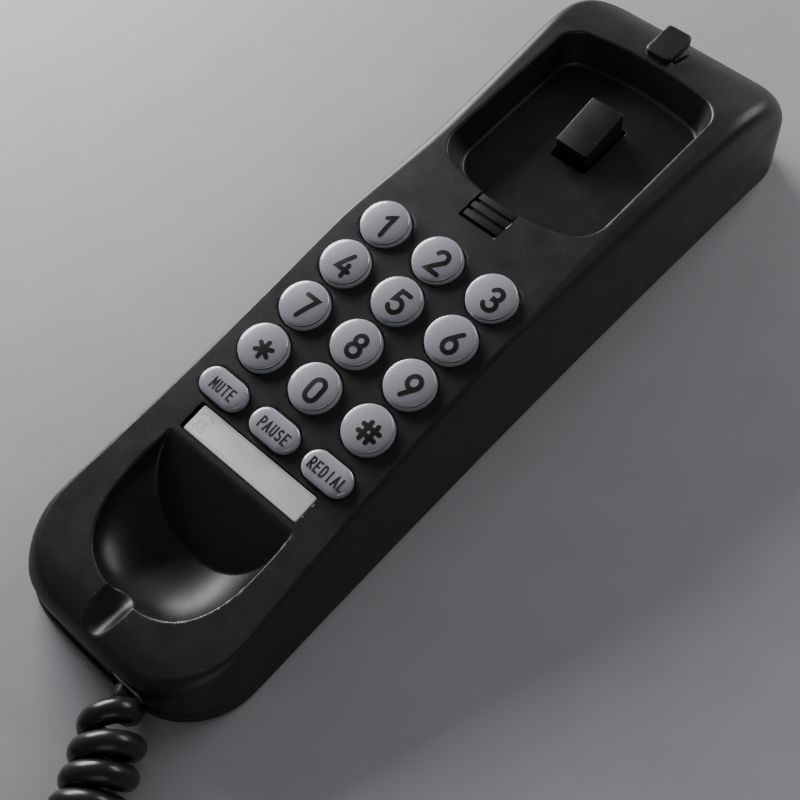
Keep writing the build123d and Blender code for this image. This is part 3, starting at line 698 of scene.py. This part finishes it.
def ribbon(bm, points, half, place, height):
    """A flat stroke with round ends along 2-D points; height(x, y) gives the surface under it."""
    path = [Vector(points[0])]
    for a, b in zip(points, points[1:]):
        parts = math.ceil((Vector(b) - Vector(a)).length / 0.35)
        path += [Vector(a).lerp(Vector(b), k / parts) for k in range(1, parts + 1)]
    closed = (path[0] - path[-1]).length < 0.02
    n = len(path)
    left, right = [], []
    for i, p in enumerate(path):
        before = path[i] - path[i - 1] if i > 0 else (path[0] - path[-2] if closed else path[1] - path[0])
        after = path[i + 1] - path[i] if i < n - 1 else (path[1] - path[0] if closed else before)
        if i == 0 and not closed:
            before = after
        before, after = before.normalized(), after.normalized()
        mean = before + after
        side = Vector((-mean.y, mean.x)).normalized()
        reach = half / max(0.5, side.dot(Vector((-after.y, after.x))))
        left.append(p + side * reach)
        right.append(p - side * reach)
    outlines = [[left[i], right[i], right[i + 1], left[i + 1]] for i in range(n - 1)]
    if not closed:
        for end in (path[0], path[-1]):
            turns = [k * math.pi / 8 for k in range(16)]
            outlines.append([end + Vector((half * math.cos(a), half * math.sin(a))) for a in turns])
    for outline in outlines:
        verts = [bm.verts.new(place @ (Vector((v.x, v.y, height(v.x, v.y))) * MM)) for v in outline]
        face = bm.faces.new(verts)
        face.normal_update()
        if face.normal.dot(place.to_3x3() @ Vector((0, 0, 1))) < 0:
            face.normal_flip()


def write(name, text, size, half, place, height, gap=1.9, squeeze=1.0):
    """Text, as one mesh of strokes with a little thickness, centred on place."""
    unit = size / 6.0
    letters = [text] if text in GLYPHS else list(text)
    pitch = (4 * squeeze + gap) * unit
    start = -pitch * (len(letters) - 1) / 2
    bm = bmesh.new()
    for k, letter in enumerate(letters):
        for stroke in GLYPHS[letter]:
            points = [((x - 2) * unit * squeeze + start + k * pitch, (y - 3) * unit) for x, y in stroke]
            ribbon(bm, points, half, place, height)
    mesh = bpy.data.meshes.new(name)
    bm.to_mesh(mesh)
    bm.free()
    ob = link(name, mesh)
    thick = ob.modifiers.new("thick", "SOLIDIFY")
    thick.thickness = 0.04 * MM
    thick.offset = 0.0
    return paint(ob, "ink_and_groove_shade")


def dome_height(x, y):
    reach = KEY_R - 0.55
    return 1.55 + 0.24 + 0.66 * (1 - (x * x + y * y) / reach ** 2) + 0.012


def pill_height(x, y):
    return 1.35 + 0.375


FIGURE_OFF = (1.25, -0.65)   # the figures sit a little off the caps' middles, towards the lower right
WORD_OFF = (0.5, -0.35)


def make_keys():
    names = ["1", "2", "3", "4", "5", "6", "7", "8", "9", "star", "0", "hash"]
    off_x, off_y = FIGURE_OFF
    for i, name in enumerate(names):
        place = dial_frame((i % 3 - 1) * KEY_X, (1.5 - i // 3) * KEY_Y)
        cap = key_cap(f"cap_{name}", place)
        middle = place @ Matrix.Translation((off_x * MM, off_y * MM, 0))
        figure = write(f"figure_{name}", name, 5.3, 0.53, middle,
                       lambda x, y: dome_height(x + off_x, y + off_y))
        for ob in (cap, figure):
            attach(ob, f"key_{name}_body")
        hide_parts(f"key_{name}")
    for i, name in enumerate(["mute", "pause", "redial"]):
        place = dial_frame((i - 1) * KEY_X, PILL_Y)
        cap = pill_cap(f"cap_{name}", place)
        middle = place @ Matrix.Translation((WORD_OFF[0] * MM, WORD_OFF[1] * MM, 0))
        word = write(f"word_{name}", name.upper(), 2.45, 0.2, middle, pill_height, 1.5, 0.66)
        for ob in (cap, word):
            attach(ob, f"key_{name}_body")
        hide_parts(f"key_{name}")


make_keys()


# ---- label ----------------------------------------------------------------------------------------
def plate_ring(half_x, half_y, r, z, n=7):
    """A rounded rectangle at height z."""
    ring = []
    for k, (sx, sy) in enumerate(((1, 1), (-1, 1), (-1, -1), (1, -1))):
        for i in range(n):
            a = math.pi / 2 * (k + i / (n - 1))
            ring.append((sx * (half_x - r) + r * math.cos(a), sy * (half_y - r) + r * math.sin(a), z))
    return ring


def drawing(name, strokes, half, place, z, look):
    """Fine printed lines on a flat face at height z."""
    bm = bmesh.new()
    for stroke in strokes:
        ribbon(bm, stroke, half, place, lambda x, y: z)
    mesh = bpy.data.meshes.new(name)
    bm.to_mesh(mesh)
    bm.free()
    ob = link(name, mesh)
    thick = ob.modifiers.new("thick", "SOLIDIFY")
    thick.thickness = 0.03 * MM
    return paint(ob, look)


def make_label():
    place = dial_frame(0.3, LABEL_Y)
    half_x, half_y, top = LABEL_LONG / 2 - 0.55, LABEL_WIDE / 2 - 0.2, -0.3
    steps = [(0, -1.25), (0, top - 0.18), (0.1, top - 0.05), (0.35, top)]
    rings = [plate_ring(half_x - i, half_y - i, 0.45, z) for i, z in steps]
    strip = ring_solid("label_strip", rings, place, ("paper", "label_edge"), [1, 1, 0])
    handset = [(-15.9, 1.3)] + arc(-14.2, 1.0, 1.7, 1.1, 170, 10) + [(-12.5, 1.3)]
    phone = [(-15.6, -1.9), (-15.1, 0.5), (-13.3, 0.5), (-12.8, -1.9), (-15.6, -1.9)]
    dial = arc(-14.2, -0.7, 0.7, 0.7, 0, 360)
    icon = drawing("label_icon", [handset, phone, dial], 0.07, place, top + 0.012, "faint")
    lines = [[(-11.4, -2.55), (14.6, -2.55)], [(14.6, -2.55), (16.2, -3.05)], [(-11.4, 2.95), (15.9, 2.95)]]
    rules = drawing("label_lines", lines, 0.05, place, top + 0.012, "faint")
    for ob in (strip, icon, rules):
        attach(ob, "base")
    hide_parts("label_card", "label_window")


make_label()


# ---- pieces that keep the CAD's shape, with their edges rounded over ------------------------------
def eased(node, width, look, body):
    ob = link(f"{node}_eased", nodes[node].data.copy())
    bm = bmesh.new()
    bm.from_mesh(ob.data)
    bmesh.ops.remove_doubles(bm, verts=bm.verts, dist=1e-6)
    bmesh.ops.dissolve_limit(bm, angle_limit=math.radians(1), verts=bm.verts, edges=bm.edges)
    sharp = [e for e in bm.edges if e.is_manifold and e.calc_face_angle(0) > math.radians(35)]
    bmesh.ops.bevel(bm, geom=sharp, offset=width * MM, segments=2, profile=0.6, affect="EDGES",
                    clamp_overlap=True)
    bmesh.ops.triangulate(bm, faces=[f for f in bm.faces if len(f.verts) > 4])
    bm.to_mesh(ob.data)
    bm.free()
    ob.data.shade_smooth()
    ob.data.set_sharp_from_angle(angle=math.radians(50))
    paint(ob, look)
    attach(ob, body)
    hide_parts(node)
    return ob


def make_small_pieces():
    eased("hook_insert", 0.18, "satin", "hook_insert_body")
    eased("hook_button", 0.22, "button", "hook_button_body")
    eased("ringer_slider", 0.25, "satin", "ringer_slider_body")
    eased("near_plug", 0.3, "plug", "base")
    eased("far_plug", 0.3, "plug", "base")
    eased("handset_jack", 0.12, "satin", "base")
    eased("line_jack", 0.12, "satin", "base")
    eased("cord_tie", 0.2, "band", "base")


make_small_pieces()
make_cord()

CARRIED = {"lower_cover": "shell", "hook_pin": "steel", "hook_switch": "satin", "switch_leaf": "steel",
           "keypad_mat": "rubber", "keypad_board": "board", "main_board": "board", "ringer": "brass",
           "ringer_switch": "satin", "ballast_plate": "steel", "rubber_feet": "rubber",
           "cover_screws": "steel"}
for node, look in CARRIED.items():
    paint(nodes[node], look)


# ---- floor, light ---------------------------------------------------------------------------------
def make_floor():
    bm = bmesh.new()
    bmesh.ops.create_grid(bm, x_segments=24, y_segments=24, size=3.0)
    mesh = bpy.data.meshes.new("floor")
    bm.to_mesh(mesh)
    bm.free()
    mat, tn, links, shader = new_material("floor_paper")
    broad = noise(tn, links, 60.0, 2.0)
    tint = (1, 1, 1.06)
    tone = ramp(tn, links, broad.outputs["Fac"], [(0.3, grey(0.40, tint)), (0.7, grey(0.42, tint))])
    links.new(tone.outputs["Color"], shader.inputs["Base Color"])
    shader.inputs["Roughness"].default_value = 0.6
    mesh.materials.append(mat)
    link("floor", mesh)


def soft_light(name, place, aim, size, watts, colour=(1, 1, 1)):
    data = bpy.data.lights.new(name, "AREA")
    data.shape = "RECTANGLE"
    data.size, data.size_y = size
    data.energy = watts
    data.color = colour
    ob = bpy.data.objects.new(name, data)
    ob.location = place
    ob.rotation_euler = (Vector(aim) - Vector(place)).to_track_quat("-Z", "Y").to_euler()
    bpy.context.scene.collection.objects.link(ob)
    return ob


def make_lights():
    soft_light("left_box", (-0.53, 0.14, 0.21), (0, 0, 0.02), (0.42, 0.26), 6.1, (1.0, 0.99, 1.0))
    soft_light("ear_strip", (0.15, 0.70, 0.38), (0, 0, 0.02), (0.5, 0.18), 2.2)
    soft_light("front_fill", (0.55, -0.50, 0.40), (0, 0, 0.02), (0.5, 0.4), 0.5)
    world = bpy.data.worlds.new("room")
    world.use_nodes = True
    world.node_tree.nodes["Background"].inputs["Color"].default_value = (0.95, 0.95, 1.0, 1)
    world.node_tree.nodes["Background"].inputs["Strength"].default_value = 0.12
    bpy.context.scene.world = world


make_floor()
make_lights()
